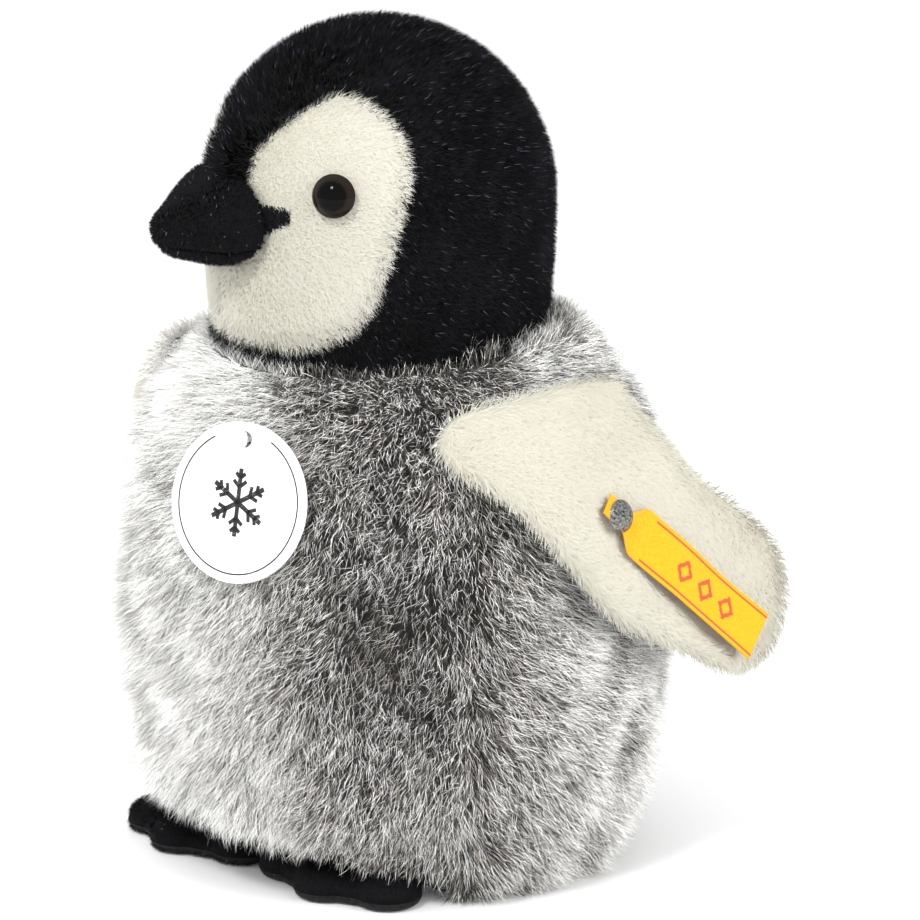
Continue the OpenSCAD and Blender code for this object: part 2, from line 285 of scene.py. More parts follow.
def slot_distance(p, a, b):
    """Signed distance from points in a plane to two circles joined by their tangents."""
    (a, ra), (b, rb) = (np.array(a[0]), a[1]), (np.array(b[0]), b[1])
    run = np.linalg.norm(b - a)
    way = (b - a) / run
    q = p - a
    y = q @ way
    x = np.abs(q[:, 0] * way[1] - q[:, 1] * way[0])
    sink = (ra - rb) / run
    lean = math.sqrt(1 - sink * sink)
    along = y * lean - x * sink
    between = x * lean + y * sink - ra
    beyond = np.where(along > lean * run, np.hypot(x, y - run) - rb, between)
    return np.where(along < 0, np.hypot(x, y) - ra, beyond)


def grid_quads(rows, columns):
    """Corner numbers of the squares of a grid of points."""
    number = np.arange(rows * columns).reshape(rows, columns)
    corners = [number[:-1, :-1], number[1:, :-1], number[1:, 1:], number[:-1, 1:]]
    return np.stack(corners, -1).reshape(-1, 4)


RIM_ROUNDS = 6
RELAX_ROUNDS = 8


def pad(outline, box, pitch, height):
    """A closed pad over an outline: outline gives signed distance, height the top and bottom at each point.

    The rim's points are moved onto the outline, and the others are relaxed between them."""
    (x0, y0), (x1, y1) = box
    nx, ny = int((x1 - x0) / pitch) + 2, int((y1 - y0) / pitch) + 2
    gx, gy = np.meshgrid(x0 + pitch * np.arange(nx), y0 + pitch * np.arange(ny), indexing="ij")
    p = np.stack([gx.ravel(), gy.ravel()], 1)
    quads = grid_quads(nx, ny)
    quads = quads[outline(p[quads].mean(1)) < 0]
    used, flat = np.unique(quads, return_inverse=True)
    quads, p = flat.reshape(-1, 4), p[used]
    edges = np.concatenate([quads[:, [i, (i + 1) % 4]] for i in range(4)])
    keys, counts = np.unique(np.sort(edges, 1), axis=0, return_counts=True)
    rim = np.unique(keys[counts == 1])
    step = 0.05
    for _ in range(RIM_ROUNDS):
        d = outline(p[rim])
        slope = np.stack(
            [(outline(p[rim] + s) - outline(p[rim] - s)) / (2 * step) for s in np.eye(2) * step], 1
        )
        p[rim] -= slope * (d / np.maximum((slope**2).sum(1), 0.3))[:, None]
    for _ in range(RELAX_ROUNDS):
        p = relaxed(p, keys, rim)
    top, bottom = height(p, np.maximum(-outline(p), 0))
    upper = np.column_stack([p, top])
    lower = np.column_stack([p, bottom])
    count = len(p)
    low_index = np.arange(count) + count
    low_index[rim] = rim
    upper[rim, 2] = (top[rim] + bottom[rim]) / 2
    faces = np.concatenate([quads, low_index[quads[:, ::-1]]])
    points = np.concatenate([upper, lower])
    used, flat = np.unique(faces, return_inverse=True)
    return points[used], flat.reshape(-1, 4)


def relaxed(p, edges, held):
    """Points of a flat mesh, each moved halfway to the middle of its neighbours apart from the held ones."""
    total, count = np.zeros_like(p), np.zeros(len(p))
    for a, b in ((0, 1), (1, 0)):
        np.add.at(total, edges[:, a], p[edges[:, b]])
        np.add.at(count, edges[:, a], 1)
    out = (p + total / count[:, None]) / 2
    out[held] = p[held]
    return out


def ring_of(profile, sides):
    """A closed ring turned about Z from a closed loop of (radius, height) pairs."""
    turn = 2 * math.pi * np.arange(sides) / sides
    r, z = np.array(profile).T
    x, y = np.outer(np.cos(turn), r), np.outer(np.sin(turn), r)
    points = np.stack([x, y, np.outer(np.ones(sides), z)], -1)
    number = np.arange(sides * len(r)).reshape(sides, len(r))
    beside, above = np.roll(number, -1, 0), np.roll(number, -1, 1)
    corner = np.roll(beside, -1, 1)
    return points.reshape(-1, 3), np.stack([number, beside, corner, above], -1).reshape(-1, 4)


# ---- materials ----


def material(name, colour, roughness, **sockets):
    """A Principled material. Every keyword is one of its sockets, with spaces as underscores."""
    m = bpy.data.materials.new(name)
    m.use_nodes = True
    shader = m.node_tree.nodes["Principled BSDF"]
    shader.inputs["Base Color"].default_value = (*colour, 1)
    shader.inputs["Roughness"].default_value = roughness
    for key, value in sockets.items():
        shader.inputs[key.replace("_", " ")].default_value = value
    m.diffuse_color = (*colour, 1)
    return m


def node(m, kind, **settings):
    """A shader node, each setting given to its socket or else to the node itself."""
    n = m.node_tree.nodes.new(kind)
    for key, value in settings.items():
        if key in n.inputs:
            n.inputs[key].default_value = value
        else:
            setattr(n, key, value)
    return n


def noise(m, pitch, detail=2.0):
    """A noise output in the object's own space whose features are about pitch millimetres across."""
    n = node(m, "ShaderNodeTexNoise", Scale=1 / (pitch * MM), Detail=detail)
    place = node(m, "ShaderNodeTexCoord")
    m.node_tree.links.new(place.outputs["Object"], n.inputs["Vector"])
    return n.outputs["Fac"]


def two_colours(m, factor, dark, light, low=0.3, high=0.7):
    """Drives the base colour between two colours by a factor output."""
    ramp = node(m, "ShaderNodeValToRGB")
    for stop, position, colour in zip(ramp.color_ramp.elements, (low, high), (dark, light)):
        stop.position = position
        stop.color = (*colour, 1)
    m.node_tree.links.new(factor, ramp.inputs["Fac"])
    m.node_tree.links.new(ramp.outputs["Color"], m.node_tree.nodes["Principled BSDF"].inputs["Base Color"])


def bump(m, height, depth):
    """Bump of a depth in millimetres from a height output."""
    n = node(m, "ShaderNodeBump", Strength=1.0, Distance=depth * MM)
    m.node_tree.links.new(height, n.inputs["Height"])
    m.node_tree.links.new(n.outputs["Normal"], m.node_tree.nodes["Principled BSDF"].inputs["Normal"])


def grained(name, colour, roughness, pitch, depth, detail=2.0, **sockets):
    """One colour with a fine bump."""
    m = material(name, colour, roughness, **sockets)
    bump(m, noise(m, pitch, detail), depth)
    return m


def fabric(name, dark, light, pitch, depth, roughness=0.9, detail=4.0, **sockets):
    """A fibrous cloth: two colours in a fine noise, with its bump."""
    m = material(name, light, roughness, **sockets)
    grain = noise(m, pitch, detail)
    two_colours(m, grain, dark, light)
    bump(m, grain, depth)
    return m


def tones(name, colours, roughness, **sockets):
    """Plain numbered materials for the strands of one pile."""
    return [material(f"{name}_{i + 1}", c, roughness, **sockets) for i, c in enumerate(colours)]


def dress(cad, m):
    """Gives its material to a frame solid that stays as it is."""
    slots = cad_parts[cad].data.materials
    slots.clear()
    slots.append(m)


# ---- pile ----

MOST_FACES = 190_000  # in one pile piece
STRAND_FLOOR = 0.15  # no strand reaches lower
TIP_SHARE = 0.45  # of a strand's width, where its taper ends


def surface(obj, density, rng, keep):
    """Random points and normals on a mesh, density to a square millimetre, where keep(points, normals)."""
    mesh = obj.data
    mesh.calc_loop_triangles()
    corners = np.empty(len(mesh.loop_triangles) * 3, np.int32)
    mesh.loop_triangles.foreach_get("vertices", corners)
    corners = corners.reshape(-1, 3)
    points = read_points(mesh)
    normals = np.empty(len(points) * 3)
    mesh.vertex_normals.foreach_get("vector", normals)
    normals = normals.reshape(-1, 3)
    a, b, c = (points[corners[:, i]] for i in range(3))
    area = np.linalg.norm(np.cross(b - a, c - a), axis=1) / 2
    count = int(area.sum() * density)
    at = rng.choice(len(area), count, p=area / area.sum())
    u, v = rng.random((2, count, 1))
    u, v = np.where(u + v > 1, 1 - u, u), np.where(u + v > 1, 1 - v, v)
    p = a[at] + u * (b - a)[at] + v * (c - a)[at]
    corner_normals = normals[corners[at]]
    n = unit(corner_normals[:, 0] * (1 - u - v) + corner_normals[:, 1] * u + corner_normals[:, 2] * v)
    kept = keep(p, n)
    return p[kept], n[kept]


def grow(p, n, comb, rng, own, length, width, lean, segments, stray, clump=0, tuft=24):
    """Strand paths: each starts at p along n, bends towards comb and leans to its clump's middle strand.

    own is each strand's own number from 0 to 1, and the strands near 1 are the thick guard hairs. Returns the
    paths as (strand, step, xyz), the half widths as (strand, step) and each strand's clump."""
    count = len(p)
    comb = comb - (comb * n).sum(1, keepdims=True) * n
    comb = unit(comb + 1e-6)
    across = np.cross(n, comb)
    heading = unit(comb + across * rng.normal(0, stray, (count, 1)))
    length = length * rng.uniform(0.75, 1.15, count)
    path = [p]
    wander = rng.normal(0, stray * 0.35, (count, 3))
    for i in range(segments):
        t = (i + 0.5) / segments
        tilt = np.radians(lean[0] + (lean[1] - lean[0]) * t + rng.normal(0, 7, count))[:, None]
        way = unit(n * np.cos(tilt) + heading * np.sin(tilt) + wander * t)
        path.append(path[-1] + way * (length / segments)[:, None])
    path = np.stack(path, 1)
    if clump > 0 and count > tuft * 2:
        guides = rng.choice(count, count // tuft, replace=False)
        tree = KDTree(len(guides))
        for i, g in enumerate(guides):
            tree.insert(p[g], i)
        tree.balance()
        nearest = guides[[tree.find(q)[1] for q in p]]
        t = np.linspace(0, 1, segments + 1)[None, :, None] ** 1.4
        path = path + (path[nearest] - path) * t * (clump * rng.uniform(0.5, 1.2, count))[:, None, None]
    else:
        nearest = np.arange(count)
    taper = np.linspace(1, TIP_SHARE, segments + 1)
    half = (width * (0.7 + 0.9 * own**3))[:, None] / 2 * taper[None, :]
    return path, half, nearest


def in_turn(left, right, tip):
    """Left and right values in turn up each strand, then one value at its tip."""
    pairs = np.stack([left[:, :-1], right[:, :-1]], 2).reshape(len(left), -1, 3)
    return np.concatenate([pairs, tip[:, -1:]], 1)


def strand_mesh(name, path, half, n, tone, materials, rng, twist, soft):
    """One mesh of flat tapered strands that face away from the cover, each rolled by up to twist.

    tone is a material index for each segment. soft is how far the shading follows the cover, from 0 to 1."""
    count, nodes, _ = path.shape
    segments = nodes - 1
    way = unit(np.diff(path, axis=1))
    way = np.concatenate([way, way[:, -1:]], 1)
    out = unit(n)[:, None, :]
    up = unit(out - (way * out).sum(2, keepdims=True) * way)
    across = np.cross(way, up)
    roll = np.radians(rng.uniform(-twist, twist, count))[:, None, None]
    face = up * np.cos(roll) - across * np.sin(roll)
    across = across * np.cos(roll) + up * np.sin(roll)
    reach = across * half[:, :, None]
    points = in_turn(path - reach, path + reach, path)
    shade = unit(n[:, None, :] * soft + face * (1 - soft))
    normals = in_turn(shade, shade, shade)

    loops_of_one = []
    for i in range(segments - 1):
        loops_of_one += [2 * i, 2 * i + 1, 2 * i + 3, 2 * i + 2]
    loops_of_one += [2 * segments - 2, 2 * segments - 1, 2 * segments]
    starts_of_one = np.arange(segments) * 4
    loops = (np.array(loops_of_one)[None] + (np.arange(count) * (2 * segments + 1))[:, None]).ravel()
    starts = (starts_of_one[None] + (np.arange(count) * len(loops_of_one))[:, None]).ravel()
    mesh = bpy.data.meshes.new(name)
    mesh.vertices.add(count * (2 * segments + 1))
    mesh.vertices.foreach_set("co", (points * MM).astype(np.float32).ravel())
    mesh.loops.add(len(loops))
    mesh.loops.foreach_set("vertex_index", loops.astype(np.int32))
    mesh.polygons.add(len(starts))
    mesh.polygons.foreach_set("loop_start", starts.astype(np.int32))
    mesh.polygons.foreach_set("material_index", tone.astype(np.int32).ravel())
    mesh.polygons.foreach_set("use_smooth", np.ones(len(starts), bool))
    mesh.update(calc_edges=True)
    mesh.normals_split_custom_set_from_vertices(normals.reshape(-1, 3).tolist())
    return add_object(name, mesh, materials)


def pile(name, body, slot, p, n, comb, shades, shade_of, rng, twist=50, soft=0.65, casts=True, **growth):
    """Pile pieces over points p. shade_of(path, along, clump_value, own) gives a shade index per segment."""
    own = rng.random(len(p))
    path, half, nearest = grow(p, n, comb, rng, own, **growth)
    path[..., 2] = np.maximum(path[..., 2], STRAND_FLOOR)
    segments = path.shape[1] - 1
    along = (np.arange(segments) + 0.5) / segments
    tone = np.clip(np.round(shade_of(path, along, own[nearest], own)), 0, len(shades) - 1)
    most = MOST_FACES // (2 * segments - 1)
    parts = -(-len(p) // most)
    order = np.argsort(np.arctan2(p[:, 0], -p[:, 1]))
    for i, chosen in enumerate(np.array_split(order, parts)):
        label = name if parts == 1 else f"{name}_{i + 1}"
        strands = (path[chosen], half[chosen], n[chosen], tone[chosen])
        piece = strand_mesh(label, *strands, shades, rng, twist, soft)
        piece.visible_shadow = casts
        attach(piece, body)


# ---- camera, light and floor ----

AIM = Vector((0.0096, 0.0078, 0.0750))
CAMERA_AZIMUTH = 45
CAMERA_ELEVATION = 14
CAMERA_DISTANCE = 0.9
FOCAL_LENGTH = 186.6
SENSOR_WIDTH = 36
WORLD_STRENGTH = 1.08
PAPER = (0.93, 0.93, 0.93)
FLOOR_HALF = 40000


def make_stage():
    """The camera, the white world, three soft lamps and the paper floor."""
    scene = bpy.context.scene
    scene.view_settings.view_transform = "Standard"
    azimuth, elevation = math.radians(CAMERA_AZIMUTH), math.radians(CAMERA_ELEVATION)
    ahead = math.cos(elevation)
    back = Vector((math.sin(azimuth) * ahead, -math.cos(azimuth) * ahead, math.sin(elevation)))
    data = bpy.data.cameras.new("camera")
    data.lens = FOCAL_LENGTH
    data.sensor_width = SENSOR_WIDTH
    data.clip_start = 0.05
    data.clip_end = 20
    camera = bpy.data.objects.new("camera", data)
    camera.location = AIM + back * CAMERA_DISTANCE
    camera.rotation_euler = (-back).to_track_quat("-Z", "Y").to_euler()
    scene.collection.objects.link(camera)
    scene.camera = camera

    world = bpy.data.worlds.new("studio")
    world.use_nodes = True
    world.node_tree.nodes["Background"].inputs["Color"].default_value = (1, 1, 1, 1)
    world.node_tree.nodes["Background"].inputs["Strength"].default_value = WORLD_STRENGTH
    scene.world = world

    # each lamp's metres towards the camera, to its right and up, then power, size and if gloss shows it
    side = back.cross(Vector((0, 0, 1))).normalized()
    for name, towards, right, up, power, size, shine in (
        ("key", 0.65, 0.35, 0.62, 5.0, 0.18, True),
        ("fill", 0.6, -0.75, 0.25, 6.8, 0.6, False),
        ("bounce", 0.15, 0.85, 0.2, 2.6, 0.6, False),
    ):
        lamp = bpy.data.lights.new(name, "AREA")
        lamp.energy = power
        lamp.size = size
        holder = bpy.data.objects.new(name, lamp)
        holder.visible_glossy = shine
        holder.location = AIM + back * towards + side * right + Vector((0, 0, up))
        holder.rotation_euler = (AIM - holder.location).to_track_quat("-Z", "Y").to_euler()
        scene.collection.objects.link(holder)

    corners = np.array([[-1, -1, 0], [1, -1, 0], [1, 1, 0], [-1, 1, 0]]) * FLOOR_HALF
    mesh = mesh_of("floor", corners, [[0, 1, 2, 3]])
    add_object("floor", mesh, [material("floor_paper", PAPER, 0.9)])


make_stage()

# ---- body ----

BACKING = 0.2  # where the cloth's outer face lies in the frame's cover, whose thickness holds the pile too
HEAD_CLEARANCE = 1.0
LONG_PILE = 8.6
WARM_GREY = 7  # the last of GREYS, which follows white
SHEEN = {"Specular_IOR_Level": 0.3, "Sheen_Weight": 0.2, "Sheen_Roughness": 0.4}

base_cloth = fabric("base_cloth", (0.03, 0.03, 0.03), (0.09, 0.09, 0.09), 0.8, 0.2)
backing_cloth = fabric("grey_backing", (0.02, 0.02, 0.02), (0.05, 0.05, 0.05), 0.7, 0.25)
GREYS = tones(
    "grey_pile",
    [
        (0.018, 0.017, 0.016),
        (0.045, 0.042, 0.038),
        (0.1, 0.094, 0.085),
        (0.21, 0.2, 0.183),
        (0.4, 0.39, 0.365),
        (0.67, 0.665, 0.635),
        (0.95, 0.945, 0.925),
        (0.36, 0.3, 0.23),
    ],
    0.7,
    **SHEEN,
)


def clear_of_head(p):
    """Points moved out of the ball that the head's underside sweeps."""
    middle = np.array([0, HEAD_Y, HEAD_Z])
    away = p - middle
    distance = np.linalg.norm(away, axis=1, keepdims=True)
    return middle + away * np.maximum(distance, NECK_BALL_R + HEAD_CLEARANCE) / distance


def drawn_in(reach, inner, share, lift):
    """Scales for distances so that those past inner keep a share of their excess, and a little lift."""
    fitted = np.where(reach > inner, inner + lift + (reach - inner) * share, reach)
    return (fitted / np.maximum(reach, 1e-6))[:, None]


def body_fit(p):
    """Moves a body panel's outer face in to the depth of its cloth."""
    scale = drawn_in(np.hypot(p[:, 0], p[:, 1]), body_radius(p[:, 2]) - BODY_COVER, BACKING, 0.15)
    return clear_of_head(np.column_stack([p[:, :2] * scale, p[:, 2]]))


def front_angle(p):
    """Angle from the toy's front towards its left, in degrees."""
    return np.degrees(np.arctan2(p[:, 0], -p[:, 1]))


def body_comb(p, n):
    """Down the body, parted at the side seams, and outwards over the shoulders."""
    angle = front_angle(p)
    side = np.sign(angle)
    turn = np.abs(angle)
    radial = unit(p * [1, 1, 0])
    tangent = np.cross([0, 0, 1.0], radial) * side[:, None]
    behind = smooth(SIDE_SEAM - 3, SIDE_SEAM + 3, turn) * (1 - smooth(120, 175, turn))
    before = -smooth(10, 50, turn) * (1 - smooth(SIDE_SEAM - 3, SIDE_SEAM + 3, turn))
    low = 1 - smooth(70, 96, p[:, 2])
    sweep = (0.95 * behind + 0.6 * before) * (0.35 + 0.65 * low) + 0.4 * ripple(p, 26, 5)
    ledge = smooth(0.15, 0.6, n[:, 2])
    return radial * (2 * ledge)[:, None] + tangent * sweep[:, None] + [0, 0, -1.0]


def body_keep(p, n):
    """True on the outer face of the body's covers and on the shoulders."""
    radial = unit(p * [1, 1, 0])
    return ((n * radial).sum(1) > 0.15) | ((n[:, 2] > 0.35) & (p[:, 2] > 92))


def body_shade(path, along, clump_value, own):
    """Dark roots and white tips; darker over the belly, paler behind and at the shoulders, and painted light
    to its right.
    """
    root = path[:, 0]
    mottle = ripple(root, 19, 21) * 0.5 + ripple(root, 5, 22) * 0.5
    around, up = front_angle(root), root[:, 2]
    # painted light: the toy's right front is painted paler for the light that falls on it
    right = smooth(38, -4, around) * (1 - 0.8 * smooth(65, 105, -around))
    flank = 0.4 * smooth(66, 86, around) * (1 - smooth(48, 72, up))
    shoulder = 0.4 * smooth(84, 98, up) * smooth(60, 90, around)
    behind = 0.5 * smooth(72, 88, up) * smooth(76, 100, around)
    # painted light: the right side is painted paler still up by the neck, against the head's shadow
    pale_and_painted_light = np.maximum(right * (1 + 0.5 * smooth(76, 92, up)), 0.75 * (flank + shoulder + behind))
    belly = np.exp(-(((around - 44) / 22) ** 2) - ((up - 56) / 26) ** 2)
    value = 0.2 + 1.2 * along[None, :] + 3.8 * smooth(0.5, 0.8, along)[None, :]
    spread = (clump_value - 0.5) * 1.2 + 5.4 * smooth(0.5, 0.8, own) - 2.3
    drift = mottle * 0.95 + 4.0 * pale_and_painted_light - 3.4 * belly + spread * (1 - 0.55 * np.minimum(pale_and_painted_light, 1))
    value = np.clip(value + drift[:, None], 0, WARM_GREY - 1)
    warm = (own > 0.93)[:, None] & (value > 2) & (value < 5)
    return np.where(warm, WARM_GREY, value)


def body_pile(name, obj, density, keep, rng, long=LONG_PILE, comb=body_comb):
    """The body's long pile, trimmed shorter towards the neck, under the chin and over the feet."""
    p, n = surface(obj, density, rng, keep)
    turn, up = np.abs(front_angle(p)), p[:, 2]
    chin = (1 - smooth(40, 80, turn)) * smooth(90, 98, up)
    hem = (1 - smooth(52, 68, turn)) * (1 - smooth(10, 20, up))
    trim = 2.0 * smooth(78, 100, up) + 2.5 * chin + 6.0 * hem * rng.uniform(0.35, 1, len(p))
    length = long - trim + 1.2 * ripple(p, 15, 9)
    growth = {"length": length, "width": 0.11, "lean": (12, 52), "segments": 3, "clump": 0.35, "stray": 0.95}
    pile(name, "body", "grey_long_pile", p, n, comb(p, n), GREYS, body_shade, rng, **growth)


def neck_ring():
    """The rolled seam where the covers are sewn to the neck, clear of the turning head."""
    outer = [(33.0, 95.0), (32.6, 98.5), (31.2, 100.3)]
    inner = [(29.0, 100.6), (27.2, 99.8), (26.6, 97.5), (29.0, 95.0)]
    points, faces = ring_of(outer + inner, 120)
    obj = shell("neck_seam", clear_of_head(points), faces, backing_cloth)
    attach(obj, "body")
    return obj


def make_body():
    """The belly and back covers with their pile, the neck's seam and the base."""
    rng = np.random.default_rng(11)
    for part in ("belly", "back_left", "back_right"):
        obj = cover(f"{part}_panel", f"{part}_cover", body_fit, backing_cloth, 1.0)
        sewn(obj, "body", "grey_long_pile", 0.9, f"{part}_panel")
        body_pile(f"{part}_pile", obj, 9.0, body_keep, rng)

    def on_top(p, n):
        return (n[:, 2] > 0.1) & (p[:, 2] > 97)

    def up_the_neck(p, n):
        return n * 0 + [0, 0, 1.0] + 0.3 * unit(p * [1, 1, 0])

    body_pile("neck_seam_pile", neck_ring(), 6.0, on_top, rng, 8.0, up_the_neck)
    base = cover("base_gusset", "base_cover", lambda p: p, base_cloth, 1.2)
    sewn(base, "body", "base_fabric", 1.0, "base_gusset")


make_body()

# ---- head ----

HEAD_BACKING = 0.4  # like BACKING, for the black panels
CHEEK_BACKING = 0.62  # for the cheeks, whose pile is shorter
PAINTED_GLINT = 4  # the last of BLACKS, a painted glint: a rare strand tip painted light as if it caught the light

black_cloth = fabric("black_backing", (0.002, 0.002, 0.0025), (0.006, 0.006, 0.007), 0.6, 0.2)
cream_cloth = fabric("cream_backing", (0.48, 0.46, 0.38), (0.56, 0.54, 0.46), 0.6, 0.2)
BLACKS = tones(
    "black_pile",
    [
        (0.0012, 0.0012, 0.0015),
        (0.0022, 0.0022, 0.0028),
        (0.004, 0.004, 0.005),
        (0.008, 0.0085, 0.011),
        (0.06, 0.07, 0.095),
    ],
    0.8,
    Specular_IOR_Level=0.1,
)
CREAMS = tones(
    "cream_pile",
    [(0.46, 0.44, 0.36), (0.5, 0.48, 0.4), (0.53, 0.51, 0.43), (0.55, 0.53, 0.45), (0.57, 0.555, 0.485)],
    0.75,
    **SHEEN,
)


def head_fit(p):
    """Moves a head panel's outer face in to the depth of its cloth."""
    q = head_local(p)
    out = q - [0, 0, HEAD_Z]
    share = HEAD_BACKING + (CHEEK_BACKING - HEAD_BACKING) * smooth(0.5, 4, cheek_inside(q))
    ball = out * drawn_in(np.linalg.norm(out, axis=1), HEAD_R - HEAD_COVER, share, 0.1) + [0, 0, HEAD_Z]
    jaw = q.copy()
    jaw[:, :2] *= drawn_in(np.hypot(q[:, 0], q[:, 1]), head_radius(q[:, 2]) - HEAD_COVER, share, 0.1)
    return head_place(np.where(q[:, 2:] > HEAD_Z, ball, jaw))


def eye_distance(q, side):
    """Distance along the cheek from an eye's middle, for points about the head's axis."""
    middle = mirrored(eye_place(np.zeros(3)), side)
    return np.linalg.norm(unit(q - [0, 0, HEAD_Z]) - unit(middle - [0, 0, HEAD_Z]), axis=-1) * HEAD_R


def beak_distance(q):
    """Rough signed distance from the beak, for points about the head's axis."""
    r = q - [0, 0, HEAD_Z]
    wide = np.clip(np.abs(r[:, 0]) - BEAK_BASE[0], 0, None)
    root = np.stack([wide, r[:, 1] - BEAK_BASE[1], r[:, 2] - BEAK_BASE[2]], 1)
    tip = r - [0, BEAK_TIP_R - BEAK_REACH, BEAK_TIP_Z]
    return np.minimum(np.linalg.norm(root, axis=1) - BEAK_BASE_R, np.linalg.norm(tip, axis=1) - BEAK_TIP_R)


def head_keep(p, n):
    """True on the outer face of the head's covers, clear of the eyes and the beak."""
    q = head_local(p)
    away = np.minimum(eye_distance(q, 1), eye_distance(q, -1)) > EYE_R - 0.8
    radial = unit(q - [0, 0, HEAD_Z])
    outside = (n * unit(head_place(q + radial) - p)).sum(1) > 0.2
    return away & outside & (q[:, 2] > NECK_Z + 0.6) & (beak_distance(q) > -1)


def head_comb(p, n):
    """Back and down over the head, and outwards from the beak on the cheeks."""
    q = head_local(p)
    flow = unit(q - [0, -46, HEAD_Z - 2]) * [1, 1, 0.8] + [0, 0, -0.35]
    flow = flow + 0.25 * np.stack([ripple(p, 22, seed) for seed in (31, 32, 33)], 1)
    return turned(flow, "z", -HEAD_TURN)


def cheek_inside(q):
    """How far points about the head's axis lie inside the cheek's outline, seen from the side."""
    return -slot_distance(np.column_stack([q[:, 1], q[:, 2] - HEAD_Z]), *CHEEK)


def in_mouth_corner(p):
    """The black tail of the mouth on a cheek, a blunt wedge that narrows behind the beak."""
    q = head_local(p)
    angle = np.degrees(np.arctan2(np.abs(q[:, 0]), -q[:, 1]))
    back = (angle - 16) / 20
    half = 1.2 + 3.2 * np.clip(1 - back, 0, 1)
    return (back < 1) & (np.abs(q[:, 2] - HEAD_Z - (-1.6 + 2.2 * back)) < half)


def black_shade(path, along, clump_value, own):
    """Lighter towards the tips, with soft patches and a few tips painted light as glints."""
    patches = 0.5 * ripple(path[:, 0], 9, 41)
    value = 0.2 + 2.4 * along[None, :] + ((own - 0.5) * 1.2)[:, None] + patches[:, None]
    # painted glint: a few strand tips are given the light last tone
    painted_glint = (own > 0.985)[:, None] & (along > 0.5)[None, :]
    return np.where(painted_glint, PAINTED_GLINT, np.clip(value, 0, PAINTED_GLINT - 1))


def cream_shade(path, along, clump_value, own):
    """The lightest creams, slightly lighter towards the tips."""
    value = 3.3 + 0.9 * along[None, :] + ((own - 0.5) * 0.3)[:, None]
    return np.clip(value, 0, 4)


def flipper_painted_shade(path, along, clump_value, own):
    """Painted shade: one tone darker than the cheeks, to hold down the light that falls full on the flipper's
    front.
    """
    return cream_shade(path, along, clump_value, own) - 1.0


def cheek_shade(path, along, clump_value, own):
    """Cream, with the blacks after it for the mouth's tail."""
    black = len(CREAMS) + black_shade(path, along, clump_value, own)
    return np.where(in_mouth_corner(path[:, 0])[:, None], black, cream_shade(path, along, clump_value, own))


# how the short piles grow, and how soft and shadowed they are
BLACK_GROWTH = {"width": 0.14, "lean": (12, 58), "clump": 0.2, "tuft": 14, "soft": 0.75}
CREAM_GROWTH = {"width": 0.2, "twist": 8, "soft": 1.0, "casts": False}


def make_head():
    """The black panels and the cream cheeks, with their pile."""
    rng = np.random.default_rng(12)
    blacks = ["forehead_gusset", "head_left_panel", "head_right_panel"]
    for cad in [*blacks, "left_cheek_panel", "right_cheek_panel"]:
        black = cad in blacks
        label = cad.replace("_panel", "")
        slot = "black_short_pile" if black else "cream_short_pile"
        obj = cover(cad, f"{label}_cover", head_fit, black_cloth if black else cream_cloth, 0.7)
        if not black:
            obj.data.materials.append(black_cloth)
            middles = np.array([face.center for face in obj.data.polygons]) / MM
            obj.data.polygons.foreach_set("material_index", in_mouth_corner(middles).astype(np.int32))
        sewn(obj, "head", slot, 0.95, cad)
        p, n = surface(obj, 11.0 if black else 15.0, rng, head_keep)
        place = (f"{label}_pile", "head", slot, p, n, head_comb(p, n))
        if black:
            growth = {"length": np.full(len(p), 2.7), **BLACK_GROWTH}
            pile(*place, BLACKS, black_shade, rng, segments=2, stray=0.45, **growth)
        else:
            length = 1.5 + 1.4 * (1 - smooth(0.8, 3.5, cheek_inside(head_local(p))))
            growth = {"length": length, "lean": (30, 76), **CREAM_GROWTH}
            pile(*place, CREAMS + BLACKS, cheek_shade, rng, segments=2, stray=0.45, **growth)


make_head()

# ---- beak ----

WHITE_NAP = 3  # the last of NAPS, a rare speck of lint

VELOUR_COLOURS = ((0.002, 0.002, 0.0025), (0.006, 0.006, 0.007))
velour = fabric("black_velour", *VELOUR_COLOURS, 0.5, 0.15, Specular_IOR_Level=0.12)
NAPS = tones(
    "velour_nap",
    [(0.0018, 0.0018, 0.0022), (0.0035, 0.0035, 0.0042), (0.008, 0.008, 0.01), (0.12, 0.12, 0.13)],
    0.85,
    Specular_IOR_Level=0.12,
)


def nap_shade(path, along, clump_value, own):
    """One tone to a strand, with a few specks of lint."""
    value = 0.4 + own[:, None] * 1.9 + 0 * along[None, :]
    return np.where((own > 0.992)[:, None], WHITE_NAP, value)


def beak_fit(p):
    """Slims the beak's bridge towards its tip, and lifts the back of its underside."""
    q = head_local(p)
    rise = q[:, 2] - HEAD_Z - BEAK_TIP_Z
    slim = 2.4 * smooth(29, 40, -q[:, 1])
    q[:, 2] -= slim * np.clip(rise / BEAK_TIP_R, 0, 1.5)
    q[:, 2] += 1.8 * (1 - smooth(29, 36, -q[:, 1])) * smooth(0, 7, -rise)
    return head_place(q)


def on_beak(p, n):
    """True where the beak's skin faces away from the beak's middle line."""
    q = head_local(p)
    middle = q * [0.6, 1, 0] + [0, 0, HEAD_Z + BEAK_TIP_Z]
    middle[:, 1] = np.maximum(middle[:, 1], BEAK_TIP_R - BEAK_REACH)
    return (turned(n, "z", HEAD_TURN) * (q - middle)).sum(1) > 0


def nap(obj, body, rng, density, keep, comb):
    """Short single-segment strands over a velour cover."""
    p, n = surface(obj, density, rng, keep)
    length = np.full(len(p), 0.8)
    growth = {"length": length, "width": 0.14, "lean": (25, 50), "segments": 1, "stray": 0.8, "soft": 0.8}
    label = obj.name.replace("cover", "nap")
    pile(label, body, "black_velour", p, n, comb(p, n), NAPS, nap_shade, rng, **growth)


